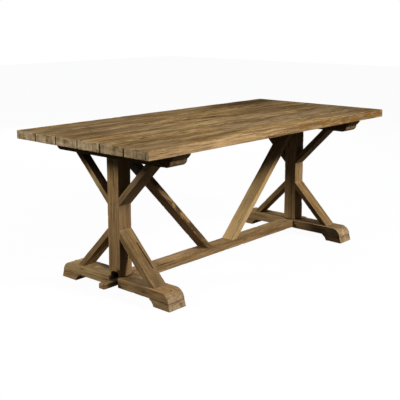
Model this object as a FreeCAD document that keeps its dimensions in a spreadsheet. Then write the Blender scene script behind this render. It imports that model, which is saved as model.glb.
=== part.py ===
import FreeCAD, Part
import math
import os
import Sketcher

# Plank table on two braced trestles. X runs along the table, -Y is the front, Z is up from the floor.
# The origin is on the floor, under the middle of the top. All sizes are in millimetres.

UP = FreeCAD.Vector(0, 0, 1)
doc = FreeCAD.newDocument("sawbuck_table")
sheet = doc.addObject("Spreadsheet::Sheet", "Sizes")
aliases = []
pieces = []


class Size:
    """A length together with the sheet expression that gives it."""

    def __init__(self, value, text):
        self.value = value
        self.text = text

    def __add__(self, other):
        other = as_size(other)
        return Size(self.value + other.value, f"({self.text} + {other.text})")

    def __sub__(self, other):
        other = as_size(other)
        return Size(self.value - other.value, f"({self.text} - {other.text})")

    def __mul__(self, other):
        other = as_size(other)
        return Size(self.value * other.value, f"({self.text} * {other.text})")

    def __truediv__(self, other):
        other = as_size(other)
        return Size(self.value / other.value, f"({self.text} / {other.text})")

    def __neg__(self):
        return self * -1

    __rmul__ = __mul__


def as_size(item):
    """Wrap a plain number, so that it can stand beside sizes of the sheet."""
    return item if isinstance(item, Size) else Size(item, f"({item})")


def size(alias, value):
    """Write one number into the sheet and hand back the size that reads it."""
    aliases.append(alias)
    sheet.set(f"A{len(aliases)}", alias)
    sheet.set(f"B{len(aliases)}", str(value))
    sheet.setAlias(f"B{len(aliases)}", alias)
    return Size(value, f"Sizes.{alias}")


# Top
top_length = size("top_length", 1900)
top_height = size("top_height", 760)
plank_width = size("plank_width", 147.5)
plank_thickness = size("plank_thickness", 42)
plank_gap = size("plank_gap", 3)
plank_ease = size("plank_ease", 3)
end_overhang = size("end_overhang", 242)
PLANK_COUNT = 6
HEX_SIDES = 6

# Battens and bearers
rail_width = size("rail_width", 108)
batten_setback = size("batten_setback", 38)
batten_thickness = size("batten_thickness", 32)
bevel_run = size("bevel_run", 16)
bevel_rise = size("bevel_rise", 18)
bearer_setback = size("bearer_setback", 22)
bearer_thickness = size("bearer_thickness", 34)
bearer_nose = size("bearer_nose", 30)

# Posts
post_width = size("post_width", 78)
post_tenon_width = size("post_tenon_width", 40)
post_tenon_length = size("post_tenon_length", 50)
post_tenon_depth = size("post_tenon_depth", 22)
slot_width = size("slot_width", 52)
slot_side = size("slot_side", 55)
slot_arch = size("slot_arch", 30)

# Feet
foot_width = size("foot_width", 108)
foot_length = size("foot_length", 756)
foot_web = size("foot_web", 40)
beam_height = size("beam_height", 48)
pad_height = size("pad_height", 34)
pad_splay = size("pad_splay", 10)
pad_length = size("pad_length", 131)
pad_tread = size("pad_tread", 104)
pad_lip = size("pad_lip", 4)
cove_radius = size("cove_radius", 46)

# Short braces
lower_setback = size("lower_setback", 110)
upper_setback = size("upper_setback", 126)
brace_cut = size("brace_cut", 41)
slim_width = size("slim_width", 47)
brace_tenon_width = size("brace_tenon_width", 36)
brace_tenon_height = size("brace_tenon_height", 18)
brace_tenon_depth = size("brace_tenon_depth", 20)

# Stretcher and long braces
stretcher_width = size("stretcher_width", 76)
stretcher_height = size("stretcher_height", 44)
tongue_width = size("tongue_width", 42)
tongue_height = size("tongue_height", 24)
tongue_rise = size("tongue_rise", 2)
tongue_reach = size("tongue_reach", 58)
tongue_round = size("tongue_round", 12)
long_foot = size("long_foot", 83)
long_heel = size("long_heel", 8)
long_tenon_width = size("long_tenon_width", 40)
long_tenon_length = size("long_tenon_length", 20)
long_tenon_depth = size("long_tenon_depth", 22)
housing_height = size("housing_height", 13)
housing_depth = size("housing_depth", 14)

# Screws, bolts, inserts and pegs
screw_diameter = size("screw_diameter", 5)
screw_length = size("screw_length", 52)
screw_head = size("screw_head", 10)
screw_head_height = size("screw_head_height", 4)
screw_recess = size("screw_recess", 2)
screw_spread = size("screw_spread", 30)
bolt_diameter = size("bolt_diameter", 8)
bolt_head = size("bolt_head", 18)
bolt_head_height = size("bolt_head_height", 6)
bolt_setback = size("bolt_setback", 80)
bolt_grip = size("bolt_grip", 19)
insert_diameter = size("insert_diameter", 14)
insert_length = size("insert_length", 22)
peg_diameter = size("peg_diameter", 8)
pad_peg_setback = size("pad_peg_setback", 43)
pad_peg_depth = size("pad_peg_depth", 20)
pad_peg_drop = size("pad_peg_drop", 2)
brace_peg_length = size("brace_peg_length", 80)

# Fits: room round a tenon, peg or screw, room past its end, and how far a tenon reaches into its own board
fit = size("fit", 0.2)
end_room = size("end_room", 1)
root = size("root", 3)

# Levels, planes and reaches that several pieces share, on the left trestle
trestle_offset = top_length / 2 - end_overhang
plank_pitch = plank_width + plank_gap
batten_half = (plank_pitch * PLANK_COUNT - plank_gap) / 2 - batten_setback
bearer_half = batten_half - bearer_setback
foot_half = foot_length / 2
underside = top_height - plank_thickness
batten_bottom = underside - batten_thickness
bearer_bottom = batten_bottom - bearer_thickness
beam_top = pad_height + beam_height
post_half = post_width / 2
post_outer = -(trestle_offset + post_half)
post_inner = -(trestle_offset - post_half)
foot_outer = -(trestle_offset + foot_width / 2)
foot_inner = -(trestle_offset - foot_width / 2)
rail_inner = -(trestle_offset - rail_width / 2)
web_outer = foot_inner - foot_web
stretcher_bottom = beam_top - stretcher_height
tongue_bottom = stretcher_bottom + tongue_rise
tongue_top = tongue_bottom + tongue_height
tongue_end = -foot_outer + tongue_reach
brace_middle = brace_cut / 2
lower_leg = foot_half - lower_setback - post_half
upper_leg = bearer_half - upper_setback - post_half
bolt_spread = bearer_half - bolt_setback
pad_peg_spread = foot_half - pad_peg_setback
lower_seat = post_half + lower_leg - brace_middle
upper_seat = post_half + upper_leg - brace_middle
brace_peg_level = beam_top - brace_tenon_depth / 2
tongue_peg_plane = (post_inner + foot_inner) / 2


def bind(thing, prop, amount):
    """Tie a property to the sheet."""
    thing.setExpression(prop, as_size(amount).text)


def piece(label, turned=False):
    """Start a sub-part; a turned one is drawn on the left and swung half a turn about the upright axis."""
    body = doc.addObject("PartDesign::Body", label)
    body.Label = label
    if turned:
        body.Placement = FreeCAD.Placement(FreeCAD.Vector(), FreeCAD.Rotation(UP, 180))
    pieces.append(body)
    return body


def sketch_on(body, role, offset):
    """Open a sketch on an origin plane of the body, moved along the normal of that plane."""
    plane = [feature for feature in body.Origin.OriginFeatures if feature.Role == role][0]
    sketch = body.newObject("Sketcher::SketchObject", "sketch")
    sketch.AttachmentSupport = (plane, [""])
    sketch.MapMode = "FlatFace"
    bind(sketch, "AttachmentOffset.Base.z", offset)
    return sketch


def hold(sketch, kind, where, amount):
    """Add one dimension to a sketch and tie it to the sheet."""
    index = sketch.addConstraint(Sketcher.Constraint(kind, *where, as_size(amount).value))
    bind(sketch, f"Constraints[{index}]", amount)


def arc_between(start, end, radius, side):
    """The short arc between two points, with its centre to the left (1) or right (-1) of the way."""
    chord = end - start
    left = UP.cross(chord).normalize()
    rise = math.sqrt(radius ** 2 - chord.Length ** 2 / 4)
    centre = (start + end) / 2 + left * rise * side
    ends = [point - centre for point in (start, end)][::side]
    angles = [math.atan2(arm.y, arm.x) for arm in ends]
    return Part.ArcOfCircle(Part.Circle(centre, UP, radius), *angles)


def outline(sketch, points, arcs=()):
    """Draw a closed outline; arcs holds the radius and side of each round stretch, by its number."""
    spots = [FreeCAD.Vector(as_size(u).value, as_size(v).value, 0) for u, v in points]
    ends = []
    for number, spot in enumerate(spots):
        following = spots[(number + 1) % len(spots)]
        if number in arcs:
            radius, side = arcs[number]
            line = sketch.addGeometry(arc_between(spot, following, radius.value, side))
            ends.append((line, 1, 2) if side > 0 else (line, 2, 1))
            hold(sketch, "Radius", (line,), radius)
        else:
            line = sketch.addGeometry(Part.LineSegment(spot, following))
            ends.append((line, 1, 2))
    for number, (line, start, _) in enumerate(ends):
        before, _, end = ends[number - 1]
        sketch.addConstraint(Sketcher.Constraint("Coincident", before, end, line, start))
        hold(sketch, "DistanceX", (line, start), points[number][0])
        hold(sketch, "DistanceY", (line, start), points[number][1])


def rectangle(sketch, low, high):
    """Draw a rectangle between two corners."""
    outline(sketch, [low, (high[0], low[1]), high, (low[0], high[1])])


def circle(sketch, centre, diameter):
    """Draw a circle."""
    middle = FreeCAD.Vector(as_size(centre[0]).value, as_size(centre[1]).value, 0)
    ring = sketch.addGeometry(Part.Circle(middle, UP, diameter.value / 2))
    hold(sketch, "DistanceX", (ring, 3), centre[0])
    hold(sketch, "DistanceY", (ring, 3), centre[1])
    hold(sketch, "Diameter", (ring,), diameter)


def extrude(body, kind, sketch, depth, way):
    """Pad or pocket a sketch along its normal (1), against it (-1) or half to each side (0)."""
    feature = body.newObject(f"PartDesign::{kind}", kind.lower())
    feature.Profile = sketch
    bind(feature, "Length", depth)
    if way == 0:
        feature.SideType = "Symmetric"
    else:
        feature.Reversed = (way < 0) == (kind == "Pad")
    body.Tip = feature
    return feature


def pad(body, sketch, depth, way=0):
    """Add the sketch to the body as material."""
    return extrude(body, "Pad", sketch, depth, way)


def pocket(body, sketch, depth, way=0):
    """Take the sketch out of the body."""
    return extrude(body, "Pocket", sketch, depth, way)


def cylinder(diameter, length, spot, axis=UP):
    """A round bar that starts at a spot and runs along an axis."""
    bar = doc.addObject("Part::Cylinder", "bar")
    bar.Placement = FreeCAD.Placement(FreeCAD.Vector(), FreeCAD.Rotation(UP, axis))
    bind(bar, "Radius", diameter / 2)
    bind(bar, "Height", length)
    place(bar, spot)
    return bar


def place(thing, spot):
    """Tie the position of a thing to the sheet."""
    for letter, amount in zip("xyz", spot):
        bind(thing, f"Placement.Base.{letter}", amount)


def join(kind, base, tool):
    """Fuse two solids or cut one from the other."""
    result = doc.addObject(f"Part::{kind}", kind.lower())
    result.Base = base
    result.Tool = tool
    return result


def group(label, members):
    """Gather equal fasteners into one sub-part."""
    gathered = doc.addObject("Part::Compound", label)
    gathered.Label = label
    gathered.Links = members
    pieces.append(gathered)


def side_tenon(sketch, seat, face, facing, mark, room=0, past=0):
    """Outline of the tenon that a short brace has in the post, or of its mortise with some room."""
    half = brace_tenon_height / 2 + room
    level = face + facing * (seat - post_half)
    rectangle(sketch, (mark * (post_half - brace_tenon_depth - past), level - half),
              (mark * (post_half + root), level + half))


def end_tenon(sketch, seat, face, facing, mark, room=0, past=0):
    """Outline of the tenon that a short brace has in the foot or bearer, or of its mortise with some room."""
    half = brace_tenon_height / 2 + room
    rectangle(sketch, (mark * (seat - half), face - facing * (brace_tenon_depth + past)),
              (mark * (seat + half), face + facing * root))


def mortises(body, tenon, seat, face, facing):
    """Sink the mortises for a pair of short braces."""
    sketch = sketch_on(body, "YZ_Plane", -trestle_offset)
    for mark in (-1, 1):
        tenon(sketch, seat, face, facing, mark, fit, end_room)
    pocket(body, sketch, brace_tenon_width + fit * 2)


def short_brace(label, turned, mark, seat, leg, face, facing, slim):
    """A brace at 45 degrees between the post and the foot (facing 1) or the bearer (facing -1)."""
    body = piece(label, turned)
    plane = -trestle_offset
    width = post_width
    if slim:
        plane = post_outer + slim_width / 2
        width = slim_width
    sketch = sketch_on(body, "YZ_Plane", plane)
    inside = leg - brace_cut
    outline(sketch, [
        (mark * (post_half + leg), face),
        (mark * post_half, face + facing * leg),
        (mark * post_half, face + facing * inside),
        (mark * (post_half + inside), face),
    ])
    pad(body, sketch, width)
    tenon_width = brace_tenon_width
    tenon_plane = -trestle_offset
    if slim:
        bare = post_outer + slim_width
        tenon_width = brace_tenon_width / 2 + trestle_offset + bare
        tenon_plane = bare - tenon_width / 2
    tenons = sketch_on(body, "YZ_Plane", tenon_plane)
    side_tenon(tenons, seat, face, facing, mark)
    end_tenon(tenons, seat, face, facing, mark)
    pad(body, tenons, tenon_width)
    if facing > 0:
        hole = sketch_on(body, "YZ_Plane", plane)
        circle(hole, (mark * seat, brace_peg_level), peg_diameter + fit * 2)
        pocket(body, hole, post_width)


def plank(number):
    """One plank of the top, counted from the front."""
    body = piece(f"plank_{number + 1}")
    middle = (number - (PLANK_COUNT - 1) / 2) * plank_pitch
    sketch = sketch_on(body, "XY_Plane", underside)
    half = plank_width / 2
    rectangle(sketch, (-top_length / 2, middle - half), (top_length / 2, middle + half))
    blank = pad(body, sketch, plank_thickness, 1)
    ease = body.newObject("PartDesign::Fillet", "ease")
    ease.Base = (blank, [f"Edge{edge}" for edge in range(1, 13)])
    bind(ease, "Radius", plank_ease)
    body.Tip = ease
    holes = sketch_on(body, "XY_Plane", underside)
    for side in (-1, 1):
        for shift in (-1, 1):
            spot = side * trestle_offset + shift * screw_spread
            circle(holes, (spot, middle), screw_diameter + fit * 2)
    rise = screw_recess + screw_head_height + screw_length - batten_thickness
    pocket(body, holes, rise + end_room, 1)


def screw_rows():
    """Positions of the batten screws on one trestle, seen from its middle."""
    for number in range(PLANK_COUNT):
        for shift in (-1, 1):
            yield shift * screw_spread, (number - (PLANK_COUNT - 1) / 2) * plank_pitch


def batten(label, turned):
    """The upper rail, screwed to all planks, with bevelled ends."""
    body = piece(label, turned)
    sketch = sketch_on(body, "YZ_Plane", -trestle_offset)
    outline(sketch, [
        (-batten_half + bevel_run, batten_bottom),
        (batten_half - bevel_run, batten_bottom),
        (batten_half, batten_bottom + bevel_rise),
        (batten_half, underside),
        (-batten_half, underside),
        (-batten_half, batten_bottom + bevel_rise),
    ])
    pad(body, sketch, rail_width)
    shanks = sketch_on(body, "XY_Plane", batten_bottom)
    heads = sketch_on(body, "XY_Plane", batten_bottom)
    for along, across in screw_rows():
        spot = (along - trestle_offset, across)
        circle(shanks, spot, screw_diameter + fit * 2)
        circle(heads, spot, screw_head + fit * 2)
    pocket(body, shanks, batten_thickness, 1)
    pocket(body, heads, screw_recess + screw_head_height, 1)
    sockets = sketch_on(body, "XY_Plane", batten_bottom)
    for mark in (-1, 1):
        circle(sockets, (-trestle_offset, mark * bolt_spread), insert_diameter)
    pocket(body, sockets, insert_length, 1)


def bearer(label, turned):
    """The lower rail that sits on the post, with rounded lower corners."""
    body = piece(label, turned)
    sketch = sketch_on(body, "YZ_Plane", -trestle_offset)
    shoulder = bearer_bottom + bearer_nose
    outline(sketch, [
        (-bearer_half + bearer_nose, bearer_bottom),
        (bearer_half - bearer_nose, bearer_bottom),
        (bearer_half, shoulder),
        (bearer_half, batten_bottom),
        (-bearer_half, batten_bottom),
        (-bearer_half, shoulder),
    ], {1: (bearer_nose, 1), 5: (bearer_nose, 1)})
    pad(body, sketch, rail_width)
    mortise = sketch_on(body, "XY_Plane", bearer_bottom)
    half_width = post_tenon_width / 2 + fit
    half_length = post_tenon_length / 2 + fit
    rectangle(mortise, (-trestle_offset - half_width, -half_length),
              (half_width - trestle_offset, half_length))
    pocket(body, mortise, post_tenon_depth + end_room, 1)
    mortises(body, end_tenon, upper_seat, bearer_bottom, -1)
    housing = sketch_on(body, "XZ_Plane", 0)
    rectangle(housing, (rail_inner - housing_depth - end_room, bearer_bottom),
              (rail_inner, bearer_bottom + housing_height + fit))
    pocket(body, housing, long_tenon_width + fit * 2)
    holes = sketch_on(body, "XY_Plane", bearer_bottom)
    for mark in (-1, 1):
        circle(holes, (-trestle_offset, mark * bolt_spread), bolt_diameter + fit * 2)
    pocket(body, holes, bearer_thickness, 1)


def post(label, turned):
    """The square post: tenon on top, its foot lapped round the foot web and slotted for the tongue."""
    body = piece(label, turned)
    sketch = sketch_on(body, "XY_Plane", pad_height)
    rectangle(sketch, (post_outer, -post_half), (post_inner, post_half))
    pad(body, sketch, bearer_bottom - pad_height, 1)
    tenon = sketch_on(body, "XY_Plane", bearer_bottom)
    rectangle(tenon, (-trestle_offset - post_tenon_width / 2, -post_tenon_length / 2),
              (post_tenon_width / 2 - trestle_offset, post_tenon_length / 2))
    pad(body, tenon, post_tenon_depth, 1)
    lap = sketch_on(body, "XZ_Plane", 0)
    rectangle(lap, (web_outer, pad_height), (post_inner, beam_top))
    pocket(body, lap, post_width)
    slot = sketch_on(body, "YZ_Plane", post_outer)
    half = slot_width / 2
    spring = pad_height + slot_side
    outline(slot, [
        (-half, pad_height),
        (half, pad_height),
        (half, spring),
        (-half, spring),
    ], {2: (slot_arch, 1)})
    pocket(body, slot, web_outer - post_outer, 1)
    mortises(body, side_tenon, lower_seat, beam_top, 1)
    mortises(body, side_tenon, upper_seat, bearer_bottom, -1)


def foot(label, turned):
    """The foot beam: quarter-round noses, a notch for the post and a mortise for the tongue."""
    body = piece(label, turned)
    sketch = sketch_on(body, "YZ_Plane", -trestle_offset)
    half = foot_half - pad_splay
    outline(sketch, [
        (-half, pad_height),
        (half, pad_height),
        (half - beam_height, beam_top),
        (beam_height - half, beam_top),
    ], {1: (beam_height, 1), 3: (beam_height, 1)})
    pad(body, sketch, foot_width)
    notch = sketch_on(body, "XY_Plane", beam_top)
    rectangle(notch, (foot_outer, -(post_half + fit)), (web_outer, post_half + fit))
    pocket(body, notch, beam_height, -1)
    mortise = sketch_on(body, "YZ_Plane", foot_inner)
    reach = tongue_width / 2 + fit
    rectangle(mortise, (-reach, tongue_bottom - fit), (reach, tongue_top + fit))
    pocket(body, mortise, foot_web, -1)
    mortises(body, end_tenon, lower_seat, beam_top, 1)
    side_holes = sketch_on(body, "YZ_Plane", foot_inner)
    top_holes = sketch_on(body, "XY_Plane", beam_top)
    for mark in (-1, 1):
        circle(side_holes, (mark * lower_seat, brace_peg_level), peg_diameter + fit * 2)
        circle(top_holes, (-trestle_offset, mark * pad_peg_spread), peg_diameter + fit * 2)
    circle(top_holes, (tongue_peg_plane, 0), peg_diameter + fit * 2)
    pocket(body, side_holes, brace_peg_length + end_room, -1)
    pocket(body, top_holes, beam_height, -1)


def foot_pad(label, turned, mark):
    """The block glued under one end of a foot beam, coved on its inner side."""
    body = piece(label, turned)
    sketch = sketch_on(body, "YZ_Plane", -trestle_offset)
    inner = foot_half - pad_length
    outline(sketch, [
        (mark * (foot_half - pad_tread), 0),
        (mark * foot_half, 0),
        (mark * (foot_half - pad_splay), pad_height),
        (mark * inner, pad_height),
        (mark * inner, pad_height - pad_lip),
    ], {4: (cove_radius, -mark)})
    pad(body, sketch, foot_width)
    hole = sketch_on(body, "XY_Plane", pad_height)
    circle(hole, (-trestle_offset, mark * pad_peg_spread), peg_diameter + fit * 2)
    pocket(body, hole, pad_peg_depth + end_room, -1)


def stretcher():
    """The long rail between the feet, with a rounded tongue at each end."""
    body = piece("stretcher")
    sketch = sketch_on(body, "XY_Plane", stretcher_bottom)
    rectangle(sketch, (foot_inner, -stretcher_width / 2), (-foot_inner, stretcher_width / 2))
    pad(body, sketch, stretcher_height, 1)
    tongue = sketch_on(body, "XY_Plane", tongue_bottom)
    half = tongue_width / 2
    side = half - tongue_round
    end = tongue_end - tongue_round
    outline(tongue, [
        (end, -half),
        (tongue_end, -side),
        (tongue_end, side),
        (end, half),
        (-end, half),
        (-tongue_end, side),
        (-tongue_end, -side),
        (-end, -half),
    ], {corner: (tongue_round, 1) for corner in (0, 2, 4, 6)})
    pad(body, tongue, tongue_height, 1)
    mortise = sketch_on(body, "XZ_Plane", 0)
    half_cut = long_tenon_length / 2 + fit
    deep = beam_top - long_tenon_depth - end_room
    for mark in (-1, 1):
        seat = mark * (long_foot + brace_middle)
        rectangle(mortise, (seat - half_cut, deep), (seat + half_cut, beam_top))
    pocket(body, mortise, long_tenon_width + fit * 2)
    holes = sketch_on(body, "XY_Plane", tongue_top)
    for mark in (-1, 1):
        circle(holes, (mark * tongue_peg_plane, 0), peg_diameter + fit * 2)
    pocket(body, holes, tongue_height, -1)


def long_brace(label, turned):
    """The slanting brace from the stretcher up to the trestle, cut over the edge of the bearer."""
    body = piece(label, turned)
    heel = bearer_bottom - long_heel
    toe = -(long_foot + brace_cut)
    slope = (heel - beam_top) / (toe - post_inner)
    sketch = sketch_on(body, "XZ_Plane", 0)
    outline(sketch, [
        (-long_foot, beam_top),
        (toe, beam_top),
        (post_inner, heel),
        (post_inner, bearer_bottom),
        (rail_inner, bearer_bottom),
        (rail_inner, beam_top - (rail_inner + long_foot) * slope),
    ])
    pad(body, sketch, stretcher_width)
    seat = -(long_foot + brace_middle)
    half = long_tenon_length / 2
    tenons = sketch_on(body, "XZ_Plane", 0)
    rectangle(tenons, (seat - half, beam_top - long_tenon_depth), (seat + half, beam_top + root))
    rectangle(tenons, (rail_inner - housing_depth, bearer_bottom),
              (rail_inner + root, bearer_bottom + housing_height))
    pad(body, tenons, long_tenon_width)


def fasteners(name, side):
    """All screws, bolts, inserts and pegs of one trestle."""
    plane = side * trestle_offset
    screws = []
    for along, across in screw_rows():
        level = batten_bottom + screw_recess
        head = cylinder(screw_head, screw_head_height, (plane + along, across, level))
        shank = cylinder(screw_diameter, screw_length, (plane + along, across, level + screw_head_height))
        screws.append(join("Fuse", head, shank))
    group(f"batten_screws_{name}", screws)
    bolts = []
    inserts = []
    for mark in (-1, 1):
        head = doc.addObject("Part::Prism", "head")
        head.Polygon = HEX_SIDES
        bind(head, "Circumradius", bolt_head / 2)
        bind(head, "Height", bolt_head_height)
        place(head, (plane, mark * bolt_spread, bearer_bottom - bolt_head_height))
        spot = (plane, mark * bolt_spread, bearer_bottom)
        bolts.append(join("Fuse", head, cylinder(bolt_diameter, bearer_thickness + bolt_grip, spot)))
        spot = (plane, mark * bolt_spread, batten_bottom)
        sleeve = cylinder(insert_diameter, insert_length, spot)
        inserts.append(join("Cut", sleeve, cylinder(bolt_diameter + fit * 2, insert_length, spot)))
    group(f"bearer_bolts_{name}", bolts)
    group(f"bolt_inserts_{name}", inserts)
    pad_pegs = []
    brace_pegs = []
    pad_peg_length = pad_peg_depth + beam_height - pad_peg_drop
    outward = FreeCAD.Vector(side, 0, 0)
    for mark in (-1, 1):
        spot = (plane, mark * pad_peg_spread, pad_height - pad_peg_depth)
        pad_pegs.append(cylinder(peg_diameter, pad_peg_length, spot))
        spot = (-side * foot_inner, mark * lower_seat, brace_peg_level)
        brace_pegs.append(cylinder(peg_diameter, brace_peg_length, spot, outward))
    group(f"pad_pegs_{name}", pad_pegs)
    group(f"brace_pegs_{name}", brace_pegs)
    spot = (-side * tongue_peg_plane, 0, pad_height)
    group(f"tongue_peg_{name}", [cylinder(peg_diameter, beam_height, spot)])


for number in range(PLANK_COUNT):
    plank(number)

for name, side in (("left", -1), ("right", 1)):
    turned = side > 0
    batten(f"batten_{name}", turned)
    bearer(f"bearer_{name}", turned)
    post(f"post_{name}", turned)
    foot(f"foot_{name}", turned)
    long_brace(f"long_brace_{name}", turned)
    for end, mark in (("front", side), ("rear", -side)):
        foot_pad(f"pad_{name}_{end}", turned, mark)
        slim = (name, end) == ("left", "rear")
        short_brace(f"brace_{name}_lower_{end}", turned, mark, lower_seat, lower_leg, beam_top, 1, False)
        short_brace(f"brace_{name}_upper_{end}", turned, mark, upper_seat, upper_leg, bearer_bottom, -1, slim)
    fasteners(name, side)

stretcher()
doc.recompute()

for thing in doc.Objects:
    if "Invalid" in thing.State or "Error" in thing.State:
        raise RuntimeError(f"{thing.Label} did not build: {thing.State}")
    if thing.TypeId == "PartDesign::Pocket" and thing.Shape.Volume > thing.BaseFeature.Shape.Volume - 1:
        raise RuntimeError(f"{thing.Label} cuts nothing")

os.makedirs("parts", exist_ok=True)
for body in pieces:
    if body.Shape.isNull() or not body.Shape.isValid():
        raise RuntimeError(f"{body.Label} has no sound shape")
    body.Shape.exportStep(f"parts/{body.Label}.step")
print(len(pieces), "sub-parts,", sum(len(body.Shape.Solids) for body in pieces), "solids")
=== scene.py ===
import bpy
import numpy as np
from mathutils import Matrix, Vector


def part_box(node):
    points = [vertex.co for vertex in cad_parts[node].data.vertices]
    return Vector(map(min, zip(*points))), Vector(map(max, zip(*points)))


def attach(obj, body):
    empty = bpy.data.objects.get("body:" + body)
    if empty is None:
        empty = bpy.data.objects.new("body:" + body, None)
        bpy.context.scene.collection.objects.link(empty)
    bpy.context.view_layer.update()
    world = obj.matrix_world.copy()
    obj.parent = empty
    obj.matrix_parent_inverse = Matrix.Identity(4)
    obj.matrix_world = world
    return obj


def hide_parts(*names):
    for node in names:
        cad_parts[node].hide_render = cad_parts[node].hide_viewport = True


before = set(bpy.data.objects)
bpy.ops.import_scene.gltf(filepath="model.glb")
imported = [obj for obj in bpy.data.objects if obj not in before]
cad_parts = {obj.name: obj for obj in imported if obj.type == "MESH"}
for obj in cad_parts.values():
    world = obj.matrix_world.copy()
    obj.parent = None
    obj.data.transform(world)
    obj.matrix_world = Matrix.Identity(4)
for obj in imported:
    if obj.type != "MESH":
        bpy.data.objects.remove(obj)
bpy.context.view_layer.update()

print("frame loaded:", len(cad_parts), "nodes")


# Shader sockets as values.
class Tap:  # one output socket, so that sums of sockets read as sums
    def __init__(self, paint, socket):
        self.paint, self.socket = paint, socket

    def math(self, operation, *others):
        inputs = dict(enumerate((self, *others)))
        return self.paint.node("Math", {"operation": operation}, inputs)

    def back(self, operation, other):  # the same with this socket second
        return self.paint.node("Math", {"operation": operation}, {0: other, 1: self})

    def __add__(self, other):
        return self.math("ADD", other)

    def __sub__(self, other):
        return self.math("SUBTRACT", other)

    def __mul__(self, other):
        return self.math("MULTIPLY", other)

    def __rsub__(self, other):
        return self.back("SUBTRACT", other)

    __radd__ = __add__
    __rmul__ = __mul__

    def between(self, low, high):  # smooth step from 0 at low to 1 at high
        settings = {"interpolation_type": "SMOOTHSTEP"}
        return self.paint.node("MapRange", settings, {0: self, 1: low, 2: high, 3: 0.0, 4: 1.0})


class Paint:  # the nodes of one material or world
    def __init__(self, owner):
        owner.use_nodes = True
        self.owner, self.tree = owner, owner.node_tree
        self.tree.nodes.clear()

    def node(self, kind, settings=None, inputs=None, out=0):
        made = self.tree.nodes.new("ShaderNode" + kind)
        for key, value in (settings or {}).items():
            if key == "stops":
                self.setStops(made.color_ramp, value)
            else:
                setattr(made, key, value)
        for key, value in (inputs or {}).items():
            if isinstance(value, Tap):
                self.tree.links.new(value.socket, made.inputs[key])
            else:
                made.inputs[key].default_value = value
        return Tap(self, made.outputs[out]) if len(made.outputs) else None

    def setStops(self, ramp, stops):
        while len(ramp.elements) < len(stops):
            ramp.elements.new(0.5)
        for element, (place, tint) in zip(ramp.elements, stops):
            element.position = place
            element.color = colour(*tint)

    def attribute(self, label):
        return self.node("Attribute", {"attribute_name": label}, {}, "Vector")

    def noise(self, where, scale, detail, rough, out=0):
        spot = self.node("Mapping", {}, {"Vector": where, "Scale": scale})
        inputs = {"Vector": spot, "Scale": 1.0, "Detail": detail, "Roughness": rough}
        return self.node("TexNoise", {}, inputs, out)

    def vector(self, operation, inputs, out=0):
        return self.node("VectorMath", {"operation": operation}, inputs, out)

    def mix(self, factor, first, second):
        settings = {"data_type": "RGBA", "clamp_factor": True}
        return self.node("Mix", settings, {0: factor, 6: first, 7: second}, 2)

    def parts(self, vector):
        return [self.node("SeparateXYZ", {}, {0: vector}, axis) for axis in range(3)]

    def finish(self, shader, kind="OutputMaterial"):
        self.node(kind, {}, {"Surface": shader})
        return self.owner


def colour(red, green, blue):  # a colour socket's value
    return (red, green, blue, 1.0)


# Noise in the wood: spots to a metre along, across and through a board, then detail and roughness. Wide,
# streak and fine noise have their spots in each wood's look.
woodNoise = {
    "wide": (4.0, 0.6), "streak": (5.0, 0.65), "fine": (3.0, 0.6),
    "drift": ((0.8, 3.0, 3.0), 2.0, 0.5), "patch": ((1.1, 3.4, 3.4), 2.0, 0.5),
    "band": ((1.3, 8.5, 8.5), 3.0, 0.6), "scuff": ((5.0, 26, 26), 4.0, 0.65),
    "pores": ((6, 190, 190), 2.0, 0.55), "pits": ((26, 130, 130), 3.0, 0.6),
    "lines": ((0.8, 40, 40), 2.0, 0.5), "cracked": ((1.6, 9, 9), 2.0, 0.55),
    "worn": ((8, 36, 36), 3.0, 0.55), "peel": ((11, 48, 48), 4.0, 0.65),
    "wobble": ((3, 24, 24), 3.0, 0.55), "saw": ((2, 120, 15), 3.0, 0.6),
    "mottle": ((4, 26, 34), 4.0, 0.65), "checks": ((2, 90, 9), 2.0, 0.5),
}
# Levels of that noise: a mark begins at the first and is full at the second.
woodLevels = {
    "patch": (0.46, 0.64), "band": (0.54, 0.42), "scuff": (0.54, 0.68), "pores": (0.44, 0.32),
    "lines": (0.014, 0.003), "cracked": (0.52, 0.60), "pits": (0.64, 0.70), "worn": (0.40, 0.62),
    "checks": (0.62, 0.68), "peel": (0.49, 0.54),
}
# How far the grain wanders in metres, and how strongly the marks show.
woodMix = {
    "bend": (0, 0.05, 0.05), "sideLeast": 0.4, "sideScuff": 0.8, "ringTurns": 420, "ringWobble": 14,
    "endMottle": 2.6, "dirtAndShade": 0.9, "roughStreak": 0.2, "roughCracks": 0.1,
}
# Heights in the bump, and its depth in metres.
woodRelief = {
    "streak": 0.6, "fine": 0.35, "wide": 0.4, "pores": 0.5, "cracks": 1.6, "peel": 1.2, "saw": 0.8,
    "dirtAndShade": 0.3, "depth": 0.0014,
}
markLook = {"knotFray": 0.004, "knotEdge": (1.25, 0.6), "splitFray": 0.006, "splitEdge": (1.3, 0.5)}
noiseMean = 0.5
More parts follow.
